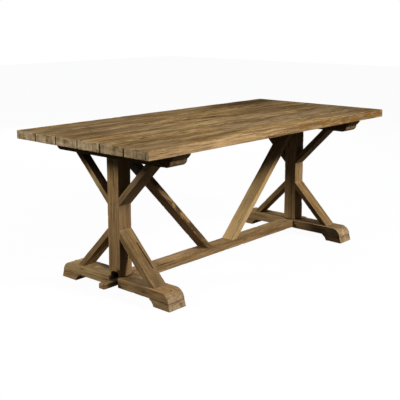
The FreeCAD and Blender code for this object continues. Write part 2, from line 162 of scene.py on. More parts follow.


# Knots and splits are given in metres: a knot is the distance to a point, a split the distance to a
# line between two points. Noise frays both.
def handMarks(paint, look, fine, streak):

    def mark(gap, size, edge):  # dark within a size, with a soft edge
        begin, full = markLook[edge]
        return gap.between(size * begin, size * full)

    place = paint.node("TexCoord", {}, {}, "Object")
    marked = 0.0
    for x, y, z, size in look["knots"]:
        gap = paint.vector("DISTANCE", {0: place, 1: (x, y, z)}, "Value")
        marked = mark(gap + fine * markLook["knotFray"], size, "knotEdge") + marked
    for begin, end, size in look["splits"]:
        begin, end = Vector(begin), Vector(end)
        run = (end - begin).normalized()
        arm = paint.vector("SUBTRACT", {0: place, 1: begin})
        reach = paint.vector("DOT_PRODUCT", {0: arm, 1: run}, "Value")
        reach = reach.math("MAXIMUM", 0.0).math("MINIMUM", (end - begin).length)
        nearest = paint.vector("SCALE", {0: run, "Scale": reach})
        gap = paint.vector("DISTANCE", {0: arm, 1: nearest}, "Value")
        marked = mark(gap + (streak - noiseMean) * markLook["splitFray"], size, "splitEdge") + marked
    return marked


# The grain attribute holds metres along a board, across it and through it. Streaks are noise drawn out along
# the board and bent by a slow drift, hairline cracks are level lines of such noise, and where the surface
# cuts across the fibres the colour turns to end grain with faint rings round a pith.
def woodPaint(name, look):
    paint = Paint(bpy.data.materials.new(name))
    grain, marks, wash = (paint.attribute(label) for label in ("grain", "marks", "wash"))
    edge, endCut, tone = paint.parts(marks)
    # The wash holds paleness, which on some pieces is painted light, grime, which on some pieces is painted
    # shade, and peeling.
    side, grimeAndShade, flake = paint.parts(wash)

    def noise(kind, where):
        return paint.noise(where, *woodNoise[kind])

    def cut(kind, where):  # noise of one kind, cut at its levels
        return noise(kind, where).between(*woodLevels[kind])

    def lay(under, amount, kind):  # one of the look's colours over the wood
        return paint.mix(amount, under, colour(*look[kind]))

    drift = paint.noise(grain, *woodNoise["drift"], "Color")
    bent = paint.vector("MULTIPLY_ADD", {0: drift, 1: woodMix["bend"], 2: grain})
    wide = paint.noise(bent, look["wideScale"], *woodNoise["wide"])
    streak = paint.noise(bent, look["streakScale"], *woodNoise["streak"])
    fine = paint.noise(bent, look["fineScale"], *woodNoise["fine"])
    body = wide * look["wide"] + streak * look["streak"] + fine * (1 - look["wide"] - look["streak"])
    wood = paint.node("ValToRGB", {"stops": look["stops"]}, {0: body})
    wood = lay(wood, cut("patch", grain) * look["grey"], "greyColour")
    wood = lay(wood, cut("band", bent) * look["band"], "bandColour")
    scuff = noise("scuff", grain)
    wood = lay(wood, scuff.between(*woodLevels["scuff"]) * look["pale"], "paleColour")
    wood = lay(wood, side * (scuff * woodMix["sideScuff"] + woodMix["sideLeast"]), "sideColour")
    pores = cut("pores", bent)
    level = (noise("lines", bent) - noiseMean).math("ABSOLUTE")
    cracks = level.between(*woodLevels["lines"]) * cut("cracked", grain)
    wood = lay(wood, pores * look["pores"], "dark")
    wood = lay(wood, cracks * look["cracks"], "dark")
    wood = lay(wood, cut("pits", bent) * look["pits"], "dark")
    wood = lay(wood, edge * cut("worn", grain) * look["worn"], "paleColour")

    across, through = paint.parts(grain)[1:]
    below = through + look["pith"]
    fromPith = (across * across + below * below).math("SQRT")
    rings = (fromPith * woodMix["ringTurns"] + noise("wobble", grain) * woodMix["ringWobble"]).math("SINE")
    saw = noise("saw", grain)
    mottle = noise("mottle", grain)
    endMix = (saw - noiseMean) * look["saw"] + (mottle - noiseMean) * woodMix["endMottle"]
    endMix = endMix + rings * look["rings"] + 0.5
    endWood = paint.mix(endMix, colour(*look["endDark"]), colour(*look["endLight"]))
    checks = cut("checks", grain)
    endWood = lay(endWood, checks * look["checks"], "dark")
    wood = paint.mix(endCut, wood, endWood)

    # Dark from the wash's grime, which is partly painted shade, and from the knots and splits.
    dirtAndShade = (grimeAndShade * (mottle + noiseMean) + handMarks(paint, look, fine, streak)).math("MINIMUM", 1.0)
    wood = lay(wood, dirtAndShade * woodMix["dirtAndShade"], "dark")
    peel = flake * cut("peel", grain)
    wood = lay(wood, peel, "flakeColour")
    inputs = {"Hue": 0.5, "Saturation": look["vivid"], "Value": tone, "Color": wood}
    shade = paint.node("HueSaturation", {}, inputs)
    rough = streak * woodMix["roughStreak"] + cracks * woodMix["roughCracks"] + look["rough"]
    relief = woodRelief
    height = streak * relief["streak"] + fine * relief["fine"] + wide * relief["wide"]
    height = height - pores * relief["pores"] - cracks * relief["cracks"] + peel * relief["peel"]
    height = height - endCut * checks + endCut * saw * relief["saw"] - dirtAndShade * relief["dirtAndShade"]
    bump = paint.node("Bump", {}, {"Strength": look["bump"], "Distance": relief["depth"], "Height": height})
    inputs = {"Base Color": shade, "Roughness": rough, "Normal": bump, "Specular IOR Level": look["shine"]}
    return paint.finish(paint.node("BsdfPrincipled", {}, inputs))


topWood = woodPaint("worn plank wood", {
    "wide": 0.25, "streak": 0.42, "wideScale": (2.2, 17, 17), "streakScale": (4.5, 75, 75),
    "fineScale": (15, 250, 250), "rough": 0.62, "bump": 0.45, "shine": 0.0, "vivid": 1.04,
    "stops": [(0.42, (0.070, 0.038, 0.016)), (0.48, (0.220, 0.132, 0.055)),
              (0.53, (0.340, 0.219, 0.098)), (0.59, (0.500, 0.352, 0.170))],
    "grey": 0.50, "greyColour": (0.235, 0.172, 0.105), "band": 0.52, "bandColour": (0.105, 0.061, 0.028),
    "pale": 0.35, "paleColour": (0.400, 0.275, 0.145), "sideColour": (0.455, 0.296, 0.160),
    "pores": 0.55, "pits": 0.75, "cracks": 0.85, "worn": 0.45, "dark": (0.018, 0.010, 0.005),
    "flakeColour": (0.165, 0.080, 0.024), "endDark": (0.150, 0.095, 0.044),
    "endLight": (0.500, 0.375, 0.225), "rings": 0.06, "pith": 0.05, "saw": 1.0, "checks": 0.20, "knots": [],
    "splits": [((-0.95, -0.437, 0.757), (-0.95, -0.433, 0.722), 0.0020)],
})
frameWood = woodPaint("brown trestle wood", {
    "wide": 0.28, "streak": 0.38, "wideScale": (3.0, 26, 26), "streakScale": (6.0, 85, 85),
    "fineScale": (14, 300, 300), "rough": 0.66, "bump": 0.50, "shine": 0.02, "vivid": 1.0,
    "stops": [(0.35, (0.075, 0.039, 0.015)), (0.45, (0.215, 0.122, 0.047)),
              (0.54, (0.300, 0.182, 0.076)), (0.64, (0.410, 0.268, 0.124))],
    "grey": 0.35, "greyColour": (0.195, 0.130, 0.074), "band": 0.28, "bandColour": (0.095, 0.052, 0.020),
    "pale": 0.30, "paleColour": (0.420, 0.280, 0.140), "sideColour": (0.420, 0.282, 0.122),
    "pores": 0.35, "pits": 0.55, "cracks": 0.70, "worn": 0.22, "dark": (0.018, 0.010, 0.005),
    "flakeColour": (0.470, 0.270, 0.108), "endDark": (0.185, 0.113, 0.050),
    "endLight": (0.450, 0.315, 0.178), "rings": 0.14, "pith": 0.05, "saw": 0.5, "checks": 0.15,
    "knots": [(-0.704, -0.361, 0.058, 0.0040), (-0.762, -0.212, 0.055, 0.0050),
              (0.719, 0.340, 0.077, 0.0050), (0.762, 0.150, 0.060, 0.0055), (-0.747, 0.012, 0.430, 0.0060)],
    "splits": [((-0.691, -0.099, 0.251), (-0.688, -0.200, 0.150), 0.0042),
               ((0.690, 0.110, 0.240), (0.694, 0.190, 0.160), 0.0022),
               ((-0.747, -0.010, 0.52), (-0.747, -0.006, 0.60), 0.0016)],
})
plankFinish = {"material": topWood, "slot": "top_wood", "prefix": "top_"}
frameFinish = {"material": frameWood, "slot": "trestle_wood", "prefix": "trestle_"}
print("wood finishes made")


# Worn boards. Softness, chips and hollows follow noise of a size in metres. Least is the smallest rounding,
# reach how far an edge's wear goes, jointEnd the rounding under which an end is a joint inside a piece, and
# endCut the slopes at which end grain begins to show and shows fully.
wear = {
    "softMean": 0.75, "softSwing": 0.35, "softSize": 0.22, "chipLevel": 0.75, "chipSize": 0.05,
    "hollowMean": 0.5, "hollowSwing": 0.4, "hollowSize": 0.16, "least": 0.0006, "reach": 0.006,
    "jointEnd": 0.0008, "endCut": (0.45, 0.85), "waves": 14,
}
nearEdge = np.array([0, 0.7, 1.6, 3.0, 5.0, 8.0, 12.0]) / 1000  # metres from an edge, for its wear
closing = np.array([0.92, 0.75, 0.5, 0.22])  # sizes of the rings that fill an end


def ramp(values, start, full):  # 0 up to start and 1 from full on, straight in between
    return np.clip((values - start) / (full - start), 0, 1)


def waveNoise(points, seed, size):  # sum of plane waves with seeded headings, about -1 to 1
    rng = np.random.default_rng(seed)
    count = wear["waves"]
    heading = rng.normal(size=(3, count))
    heading /= np.linalg.norm(heading, axis=0)
    turns = heading * rng.uniform(0.6, 1.8, count) * 2 * np.pi / size
    return np.sin(points @ turns + rng.uniform(0, 2 * np.pi, count)).sum(-1) / count ** 0.5


def spread(length, step):  # distances along a stretch, close together near both ends
    near = nearEdge[nearEdge < length * 0.45]
    count = max(2, int((length - 2 * near[-1]) / step) + 1)
    middle = np.linspace(near[-1], length - near[-1], count)[1:-1]
    return np.concatenate([near, middle, (length - near)[::-1]])


def triangles(quads, fans):
    return np.concatenate([quads[:, [0, 1, 2]], quads[:, [0, 2, 3]], fans])


def ringFaces(points, ringCount, count):  # quads from ring to ring, and a fan to the pole at each end
    around, onward = np.arange(count), (np.arange(count) + 1) % count
    starts = np.arange(ringCount - 1)[:, None] * count
    here, there = starts + around, starts + onward
    quads = np.stack([here, there, there + count, here + count], -1).reshape(-1, 4)
    lastRing = (ringCount - 1) * count
    poleOne, poleTwo = len(points) - 2, len(points) - 1
    fans = np.concatenate([
        np.stack([onward, around, 0 * around + poleOne], 1),
        np.stack([around + lastRing, onward + lastRing, 0 * around + poleTwo], 1),
    ])
    corners = points[triangles(quads, fans)]
    volume = np.einsum("ij,ij->", corners[:, 0], np.cross(corners[:, 1], corners[:, 2]))
    if volume < 0:  # turn faces outwards
        quads, fans = quads[:, ::-1], fans[:, ::-1]
    return quads, fans


def pointNormals(points, faces):  # mean of the faces round each point, by their areas
    one, two, three = (points[faces[:, k]] for k in range(3))
    facing = np.cross(two - one, three - one)
    normal = np.zeros_like(points)
    for axis in range(3):
        normal[:, axis] = sum(np.bincount(faces[:, k], facing[:, axis], len(points)) for k in range(3))
    return normal / np.maximum(np.linalg.norm(normal, axis=1), 1e-12)[:, None]


# Grain runs on a board's own axes, which are a point, the way along and the way across. Each seed shows
# another stretch of the wood.
def boardGrain(points, normal, axes, seed):
    origin, along, across = (np.array(axis, float) for axis in axes)
    along /= np.linalg.norm(along)
    across -= along * (across @ along)
    across /= np.linalg.norm(across)
    turn = np.stack([along, across, np.cross(along, across)], 1)
    shift = (np.random.default_rng(seed).uniform(-20, 20), 0.02 * (seed % 7 - 3), 0.03 * (seed % 5))
    return (points - origin) @ turn + shift, ramp(np.abs(normal @ along), *wear["endCut"])


# A board is lofted through key quads. At each station the quad is an outline of two sizes, width and height.
# Points on that outline are pulled to round corners: a point beyond the inner rectangle, which lies one
# radius inside the edges, is set one radius away from it. The radius follows wave noise, so the arrises look
# worn, and the faces sink a little by such noise. Near an end the outline shrinks by a quarter circle, and
# rings that close in on the middle fill the end.
def loftBoard(keys, look, seed, ends=(None, None), axes=None):
    keys = np.array(keys, float)
    middles = keys.mean(1)
    keyAt = np.concatenate([[0], np.cumsum(np.linalg.norm(np.diff(middles, axis=0), axis=1))])
    total = keyAt[-1]
    at = np.unique(np.round(np.concatenate([spread(total, look["step"]), keyAt]), 6))
    flat = keys.reshape(len(keys), 12)
    quad = np.stack([np.interp(at, keyAt, column) for column in flat.T], 1).reshape(-1, 4, 3)
    width = np.linalg.norm(quad[:, 1] - quad[:, 0], axis=1)[:, None]
    height = np.linalg.norm(quad[:, 3] - quad[:, 0], axis=1)[:, None]
    acrossAt = spread(width.max(), look["step"]) / width.max()
    upAt = spread(height.max(), look["step"]) / height.max()
    a = np.concatenate([acrossAt[:-1], 0 * upAt[:-1] + 1, acrossAt[:0:-1], 0 * upAt[:-1]])
    b = np.concatenate([0 * acrossAt[:-1], upAt[:-1], 0 * acrossAt[:-1] + 1, upAt[:0:-1]])

    toEnd = np.stack([at, total - at], 1)
    easeEnd = np.array([look["ease"] if end is None else end for end in ends])
    short = np.clip(easeEnd - toEnd, 0, easeEnd)
    inset = (easeEnd - np.sqrt(np.maximum(easeEnd ** 2 - short ** 2, 0))).max(1)[:, None]
    inset = np.minimum(inset, 0.3 * np.minimum(width, height))
    right, upper = a >= 0.5, b >= 0.5
    corner = np.select([~right & ~upper, right & ~upper, right & upper], [0, 1, 2], 3)
    soft = wear["softMean"] + wear["softSwing"] * waveNoise(quad, seed, wear["softSize"])
    chip = np.clip(waveNoise(quad, seed + 1, wear["chipSize"]) - wear["chipLevel"], 0, 1)
    room = 0.45 * (np.minimum(width, height) - 2 * inset)
    radius = np.clip(look["ease"] * soft + look["chips"] * chip, wear["least"], None)
    radius = np.minimum(radius, room)[:, corner]

    def pointsAt(x, y):  # bilinear place in each quad
        fx = (x / width)[..., None]
        fy = (y / np.maximum(height, 1e-6))[..., None]
        one, two, three, four = (quad[:, None, k] for k in range(4))
        return one + fx * (two - one) + fy * (four - one) + fx * fy * (three - two - four + one)

    x = inset + a * (width - 2 * inset)
    y = inset + b * (height - 2 * inset)
    inX = np.clip(x, inset + radius, width - inset - radius)
    inY = np.clip(y, inset + radius, height - inset - radius)
    dx, dy = x - inX, y - inY
    away = np.maximum(np.hypot(dx, dy), 1e-9)
    hollow = waveNoise(pointsAt(x, y), seed + 2, wear["hollowSize"])
    sunk = look["wavy"] * np.clip(wear["hollowMean"] + wear["hollowSwing"] * hollow, 0, 1)
    rings = pointsAt(inX + dx * (radius - sunk) / away, inY + dy * (radius - sunk) / away)

    def capRings(end):  # rings from an end's outline to its middle
        centre = rings[end].mean(0)
        return centre + (rings[end] - centre) * closing[:, None, None]

    level = (b == 0) | (b == 1)
    cornerGap = np.where(level, np.minimum(a, 1 - a) * width, np.minimum(b, 1 - b) * height)
    openEnd = np.where(easeEnd > wear["jointEnd"], toEnd, 1.0).min(1)[:, None]  # joints show no worn edge
    edge = np.maximum(np.exp(-cornerGap / wear["reach"]), np.exp(-openEnd / wear["reach"]))
    capEdge = np.exp(-(1 - closing) * 0.5 * height.max() / wear["reach"])[:, None] + 0 * a
    allEdge = np.concatenate([capEdge[::-1], edge, capEdge])
    allRings = np.concatenate([capRings(0)[::-1], rings, capRings(-1)])
    poles = [rings[0].mean(0), rings[-1].mean(0)]
    points = np.concatenate([allRings.reshape(-1, 3), poles])
    quads, fans = ringFaces(points, len(allRings), len(a))
    normal = pointNormals(points, triangles(quads, fans))
    if axes is None:
        axes = (middles[0], middles[-1] - middles[0], quad[:, 1].mean(0) - quad[:, 0].mean(0))
    grain, endCut = boardGrain(points, normal, axes, seed)
    return {
        "points": points, "quads": quads, "fans": fans, "normal": normal,
        "grain": grain, "endCut": endCut, "edge": np.append(allEdge.ravel(), [0, 0]),
    }


# One mesh of a CAD node's boards, with the attributes that its wood reads.
def makePiece(node, surfaces, finish, tone, wash=None):
    name = finish["prefix"] + node

    def joined(kind):
        return np.concatenate([board[kind] for board in surfaces])

    points, normals = joined("points"), joined("normal")
    starts = np.cumsum([0] + [len(board["points"]) for board in surfaces])
    quads = np.concatenate([board["quads"] + start for board, start in zip(surfaces, starts)])
    fans = np.concatenate([board["fans"] + start for board, start in zip(surfaces, starts)])
    mesh = bpy.data.meshes.new(name)
    mesh.vertices.add(len(points))
    mesh.vertices.foreach_set("co", points.ravel())
    mesh.loops.add(quads.size + fans.size)
    corners = np.concatenate([quads.ravel(), fans.ravel()])
    mesh.loops.foreach_set("vertex_index", corners.astype(np.int32))
    mesh.polygons.add(len(quads) + len(fans))
    loopStart = np.concatenate([np.arange(len(quads)) * 4, quads.size + np.arange(len(fans)) * 3])
    mesh.polygons.foreach_set("loop_start", loopStart.astype(np.int32))
    mesh.update(calc_edges=True)
    mesh.polygons.foreach_set("use_smooth", np.ones(len(quads) + len(fans), bool))
    marks = np.stack([joined("edge"), joined("endCut"), np.full(len(points), tone)], 1)
    washed = np.zeros((len(points), 3)) if wash is None else wash(points, normals)
    for label, values in (("grain", joined("grain")), ("marks", marks), ("wash", washed)):
        mesh.attributes.new(label, "FLOAT_VECTOR", "POINT").data.foreach_set("vector", values.ravel())
    mesh.materials.append(finish["material"])
    thing = bpy.data.objects.new(name, mesh)
    bpy.context.scene.collection.objects.link(thing)
    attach(thing, "root")
    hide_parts(node)


# A wash gives each point its paleness, its dirt and its peeling, where the paleness is partly painted light
# and the dirt partly painted shade. Here dirt and paleness fade with the distance from spots (x, y, z, size,
# amount), and dirt also from a level joint (height, amount, size).
def spotWash(shadeAndDirtSpots, pale=(), joint=None):

    def fade(points, spots):
        total = np.zeros(len(points))
        for x, y, z, size, amount in spots:
            gap = np.linalg.norm(points - (x, y, z), axis=1)
            total = np.maximum(total, amount * np.exp(-(gap / size) ** 2))
        return total

    def wash(points, normals):
        dirtAndShade = fade(points, shadeAndDirtSpots)
        if joint is not None:
            height, amount, size = joint
            dirtAndShade = np.maximum(dirtAndShade, amount * np.exp(-np.abs(points[:, 2] - height) / size))
        return np.stack([fade(points, pale), dirtAndShade, 0 * dirtAndShade], 1)

    return wash


def boxQuad(axis, at, low, high):  # quad across one axis at a place, from the box's other two sizes
    one, two = low
    three, four = high
    flat = [(one, two), (three, two), (three, four), (one, four)]
    return [np.insert(np.array(p, float), axis, at) for p in flat]


# Table top: six planks laid along the table. A dark oval on the top has its middle, its two reaches and
# its strength; several darken the top's right end. A stain on the end has a place across the table, a reach
# and a strength. The long edges' stain begins and is full at two places along the table. Steep are the
# slopes at which the top's surface begins to be an edge and is one.
plankLook = {
    "ease": 0.0030, "chips": 0.0060, "wavy": 0.0007, "step": 0.013, "endPlay": 0.0016,
    "tones": [1.12, 1.03, 1.11, 1.09, 1.13, 1.06], "rim": 0.006, "steep": (2 / 7, 1), "sidePale": 0.5,
    "jointDirt": 0.9, "endStains": [(-0.425, 0.016, 0.45), (-0.392, 0.010, 0.25), (0.19, 0.02, 0.25)],
    "darkOvals": [(0.76, 0.34, 0.36, 0.15, 0.78), (-0.79, 0.085, 0.10, 0.045, 0.50),
               (-0.045, 0.16, 0.06, 0.16, 0.32), (-0.80, -0.265, 0.04, 0.016, 0.60),
               (-0.27, -0.355, 0.12, 0.030, 0.35), (0.76, 0.02, 0.14, 0.03, 0.35),
               (0.90, -0.20, 0.10, 0.20, 0.30), (1.05, 0.00, 0.55, 0.90, 0.42)],
    "stained": (-0.50, 0.50), "stainDirt": 0.32, "stainBare": 0.7,
}
plankCount = len(plankLook["tones"])
topHalf = max(abs(corner.y) for n in range(plankCount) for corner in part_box(f"plank_{n + 1}"))


# Long edges are rubbed paler than the top, joints are dirty, and the top has soft dark ovals, several at its
# right end.
def plankWash(points, normals):
    upright = ramp(np.abs(normals[:, 1]), *plankLook["steep"])
    outside = np.abs(points[:, 1]) > topHalf - plankLook["rim"]
    dirtAndShade = upright * ~outside * plankLook["jointDirt"]
    for x, y, reach, wide, amount in plankLook["darkOvals"]:
        gap = ((points[:, 0] - x) / reach) ** 2 + ((points[:, 1] - y) / wide) ** 2
        dirtAndShade = np.maximum(dirtAndShade, (normals[:, 2] > 0.5) * amount * np.exp(-gap))
    for y, wide, amount in plankLook["endStains"]:
        gap = ((points[:, 1] - y) / wide) ** 2
        dirtAndShade = np.maximum(dirtAndShade, (normals[:, 0] < -0.5) * amount * np.exp(-gap))
    stain = ramp(points[:, 0], *plankLook["stained"]) * upright * outside
    dirtAndShade = np.maximum(dirtAndShade, stain * plankLook["stainDirt"])
    pale = (upright * outside - plankLook["stainBare"] * stain) * plankLook["sidePale"]
    return np.stack([pale, dirtAndShade, stain], 1)


rng = np.random.default_rng(5)
for number, tone in enumerate(plankLook["tones"]):
    node = f"plank_{number + 1}"
    low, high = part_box(node)
    play = rng.uniform(0, plankLook["endPlay"], 2)
    keys = [boxQuad(0, x, low.yz, high.yz) for x in (low.x + play[0], high.x - play[1])]
    makePiece(node, [loftBoard(keys, plankLook, 11 + number)], plankFinish, tone, plankWash)
print("top planks laid")


# Trestles. Tones make a piece lighter or darker than its wood. Ends are the roundings at a board's two ends,
# where None is the board's own ease.
pieceTones = {
    "left": {"batten": 0.70, "bearer": 0.54, "post": 1.02, "foot": 1.05, "pad": 1.03, "longBrace": 0.69,
             "lower": 0.81, "upper": 0.85},
    # On the right trestle the batten, bearer and upper braces are toned darker as painted shade under the
    # top.
    "right": {"batten": 0.60, "bearer": 0.55, "post": 1.08, "foot": 1.03, "pad": 1.05, "longBrace": 1.52,
              "lower": 0.95, "upper": 0.75},
    "stretcher": 1.09,
}
quarter = np.linspace(0, np.pi / 2, 9)  # angles of a quarter round
battenLook = {
    "ease": 0.0022, "chips": 0.0050, "wavy": 0.0006, "step": 0.012, "bevelRun": 0.016, "bevelRise": 0.018,
}


def batten(side, seed, tone):  # board along Y whose lower end corners are cut off by a straight bevel
    node = "batten_" + side
    low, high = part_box(node)
    run, rise = battenLook["bevelRun"], battenLook["bevelRise"]
    stations = [(low.y, low.z + rise), (low.y + run, low.z), (high.y - run, low.z), (high.y, low.z + rise)]
    keys = [boxQuad(1, y, (low.x, z), (high.x, high.z)) for y, z in stations]
    makePiece(node, [loftBoard(keys, battenLook, seed)], frameFinish, tone)


bearerLook = {
    "ease": 0.0025, "chips": 0.0050, "wavy": 0.0006, "step": 0.012, "nose": 0.030, "orange": 0.8,
}


def bearer(side, seed, tone):  # board along Y whose underside rises in a quarter circle at both ends
    node = "bearer_" + side
    low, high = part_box(node)
    nose = bearerLook["nose"]
    noseY = low.y + nose * (1 - np.cos(quarter))
    noseZ = low.z + nose * (1 - np.sin(quarter))
    stations = [*zip(noseY, noseZ), *zip(low.y + high.y - noseY[::-1], noseZ[::-1])]
    keys = [boxQuad(1, y, (low.x, z), (high.x, high.z)) for y, z in stations]

    def tinted(points, normals):  # bare orange wood on both ends
        bare = ramp(np.abs(points[:, 1]), high.y - nose, high.y - nose / 2) * bearerLook["orange"]
        return np.stack([0 * bare, 0 * bare, bare], 1)

    makePiece(node, [loftBoard(keys, bearerLook, seed)], frameFinish, tone, tinted)


# Painted shade and painted light on the post are rows of spots: how far in from the nearer side along Y,
# the heights over its lower end, the size and the amount.
postLook = {
    "ease": 0.0022, "chips": 0.0050, "wavy": 0.0006, "step": 0.012, "slotHalf": 0.026, "slotSide": 0.055,
    "archRise": 0.015, "web": 0.040, "shoulder": 0.124, "overlap": 0.012, "sink": 0.0002, "bury": 0.001,
    "mainEnds": (0.0001, 0.0003), "archEnds": (0.0010, 0.0010), "blockEnds": (0.0006, 0.0003),
    "slotShade": (0.005, (0.004, 0.020, 0.036, 0.052, 0.064), 0.016, 2.5),
    "insideShade": (0.030, (0.035,), 0.024, 3.0),
    "cheekLight": (0.0, (0.010, 0.030, 0.050), 0.016, 0.8),
    "innerLight": (0.0, (0.090, 0.130), 0.050, 0.3),
    "plainFront": 0.01,
}


# Upright board. Below its shoulder an arch of two cheeks laps over the foot's web, and a block stands on the
# web behind it. The arch's quads go round the slot: their inner side follows the slot's outline, two
# straight sides under a half ellipse, and their outer side follows the post's.
def post(side, seed, tone):
    node = "post_" + side
    look = postLook
    low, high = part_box(node)
    footLow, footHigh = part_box("foot_" + side)
    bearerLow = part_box("bearer_" + side)[0]
    if side == "left":
        outward, outer, inner, web = -1, low.x, high.x, footHigh.x - look["web"]
    else:
        outward, outer, inner, web = 1, high.x, low.x, footLow.x + look["web"]
    shoulder = low.z + look["shoulder"]
    axes = ((inner, 0, low.z), (0, 0, 1), (1, 0, 0))
    heights = (shoulder, bearerLow.z + look["bury"])
    main = [boxQuad(2, z, (low.x, low.y), (high.x, high.y)) for z in heights]
    half, spring = look["slotHalf"], low.z + look["slotSide"]
    turn = np.linspace(0, np.pi, 13)
    arcY, arcZ = -half * np.cos(turn), spring + look["archRise"] * np.sin(turn)
    innerPath = np.array([(-half, low.z), *zip(arcY, arcZ), (half, low.z)])
    crown = [(y, shoulder + look["overlap"]) for y in np.linspace(low.y, high.y, 11)]
    outerPath = np.array([(low.y, low.z), (low.y, shoulder), *crown, (high.y, shoulder), (high.y, low.z)])
    sunk = np.array([0, 0, *[look["sink"]] * len(crown), 0, 0])
    arch = [[(outer, *i), (outer - outward * k, *o), (web, *o), (web, *i)]
            for i, o, k in zip(innerPath, outerPath, sunk)]
    nearX, farX = min(web, inner), max(web, inner)
    block = [boxQuad(2, z, (nearX, low.y), (farX, high.y)) for z in (footHigh.z, shoulder)]
    surfaces = [
        loftBoard(main, look, seed, look["mainEnds"], axes),
        loftBoard(arch, look, seed, look["archEnds"], axes),
        loftBoard(block, look, seed, look["blockEnds"], axes),
    ]

    def row(x, y, inward, kind):  # spots at one place of the post
        setIn, rises, size, amount = look[kind]
        return [(x, y + inward * setIn, low.z + rise, size, amount) for rise in rises]

    # Painted shade round the slot and inside it; painted light low on the rear cheek and on the front by the
    # inner edge.
    shadeAndDirtSpots = row(outer, low.y, 1, "slotShade") + row(0.5 * (outer + web), low.y, 1, "insideShade")
    pale = row(outer, high.y, -1, "cheekLight") + row(inner, low.y, 1, "innerLight")
    spotted = spotWash(shadeAndDirtSpots, pale)

    def shadedAndLit(points, normals):  # the painted shade round the slot stays off the post's front
        wash = spotted(points, normals)
        wash[:, 1] *= ~((normals[:, 1] < -0.5) & (points[:, 1] < low.y + look["plainFront"]))
        return wash

    makePiece(node, surfaces, frameFinish, tone, shadedAndLit)


# Spots on the foot end in size and amount. The painted shade on its arms' tops starts with X and Y, the
# grime on its side with Y and Z, and paler spots start with Y.
footLook = {
    "ease": 0.0030, "chips": 0.0055, "wavy": 0.0007, "step": 0.012, "nose": 1.90, "noseEnd": 0.004,
    "armStart": {-1: 0.034, 1: 0.022}, "armEnds": (0.006, 0.0015), "webEnds": (0.0003, 0.0003),
    "slotShade": (0.020, 2.2), "rearShade": (0.012, 0.3), "webShade": (0.038, 3.0), "joint": (0.45, 0.003),
    "tinted": [(0.16, 0.12, 0.9), (0.30, 0.12, 0.9)],
    "armShade": {"left": [(-0.664, 0.125, 0.042, 1.6), (-0.658, 0.165, 0.032, 1.4),
                          (-0.654, 0.205, 0.022, 1.2), (-0.700, 0.140, 0.024, 0.6),
                          (-0.724, 0.188, 0.014, 0.6), (-0.700, -0.090, 0.030, 0.5)],
                 "right": []},
    "sideGrime": {"left": [(-0.195, 0.066, 0.045, 0.45), (-0.212, 0.064, 0.016, 0.7)], "right": []},
}


# Two arms along Y whose noses are quarter superellipses, joined by a web behind the post.
def foot(side, seed, tone):
    node = "foot_" + side
    look = footLook
    low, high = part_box(node)
    postLow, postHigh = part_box("post_" + side)
    tall, power = high.z - low.z, look["nose"]
    axes = ((0.5 * (low.x + high.x), 0, low.z), (0, 1, 0), (1, 0, 0))
    noseY = high.y - tall * (1 - np.sin(quarter))
    noseZ = low.z + np.maximum(tall * (1 - np.sin(quarter) ** power) ** (1 / power), look["noseEnd"])
    surfaces = []
    for sign in (-1, 1):
        stations = [(look["armStart"][sign], high.z), *zip(noseY, noseZ)]
        keys = [boxQuad(1, sign * y, (low.x, low.z), (high.x, z)) for y, z in stations]
        surfaces.append(loftBoard(keys, look, seed, look["armEnds"], axes))
    if side == "left":
        outer, inner, web = low.x, high.x, high.x - postLook["web"]
    else:
        outer, inner, web = high.x, low.x, low.x + postLook["web"]
    nearX, farX = min(web, inner), max(web, inner)
    keys = [boxQuad(1, y, (nearX, low.z), (farX, high.z)) for y in (postLow.y, postHigh.y)]
    surfaces.append(loftBoard(keys, look, seed, look["webEnds"], axes))
    # Painted shade by the slot, in the notch behind the post, on the web and on the left arms' tops beside
    # the post.
    shadeAndDirtSpots = [(outer, postLow.y, low.z, *look["slotShade"]), (outer, postHigh.y, low.z, *look["rearShade"]),
             (web, 0, high.z, *look["webShade"])]
    shadeAndDirtSpots += [(x, y, high.z, size, amount) for x, y, size, amount in look["armShade"][side]]
    shadeAndDirtSpots += [(outer, y, z, size, amount) for y, z, size, amount in look["sideGrime"][side]]
    pale = [(outer, y, high.z, size, amount) for y, size, amount in look["tinted"]]
    makePiece(node, surfaces, frameFinish, tone, spotWash(shadeAndDirtSpots, pale, (low.z, *look["joint"])))


padLook = {
    "ease": 0.0022, "chips": 0.0060, "wavy": 0.0006, "step": 0.012, "tread": 0.104, "splay": 0.010,
    "lip": 0.004, "coveRadius": 0.046, "ends": (0.0010, None), "joint": (0.45, 0.003),
}


# Block along Y: its inner end is a hollow arc through two points, and its outer end leans out downwards.
def footPad(side, end, seed, tone):
    node = f"pad_{side}_{end}"
    look = padLook
    low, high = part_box(node)
    sign = -1 if end == "front" else 1
    outer, inner = (high.y, low.y) if sign > 0 else (low.y, high.y)
    toe = outer - sign * look["tread"]
    start, stop = np.array([inner, high.z - look["lip"]]), np.array([toe, low.z])
    chord = stop - start
    across = np.array([-chord[1], chord[0]]) / np.hypot(*chord) * sign
    rise = np.sqrt(look["coveRadius"] ** 2 - (chord @ chord) / 4)
    centre = (start + stop) / 2 - across * rise
    arms = [start - centre, stop - centre]
    angle = np.linspace(*np.unwrap([np.arctan2(arm[1], arm[0]) for arm in arms]), 9)
    cove = centre + look["coveRadius"] * np.stack([np.cos(angle), np.sin(angle)], 1)
    keys = [boxQuad(1, y, (low.x, z), (high.x, high.z)) for y, z in cove]
    last = np.array(boxQuad(1, outer, (low.x, low.z), (high.x, high.z)))
    last[2:, 1] -= sign * look["splay"]
    board = loftBoard([*keys, last], look, seed, look["ends"])
    makePiece(node, [board], frameFinish, tone, spotWash([], joint=(high.z, *look["joint"])))


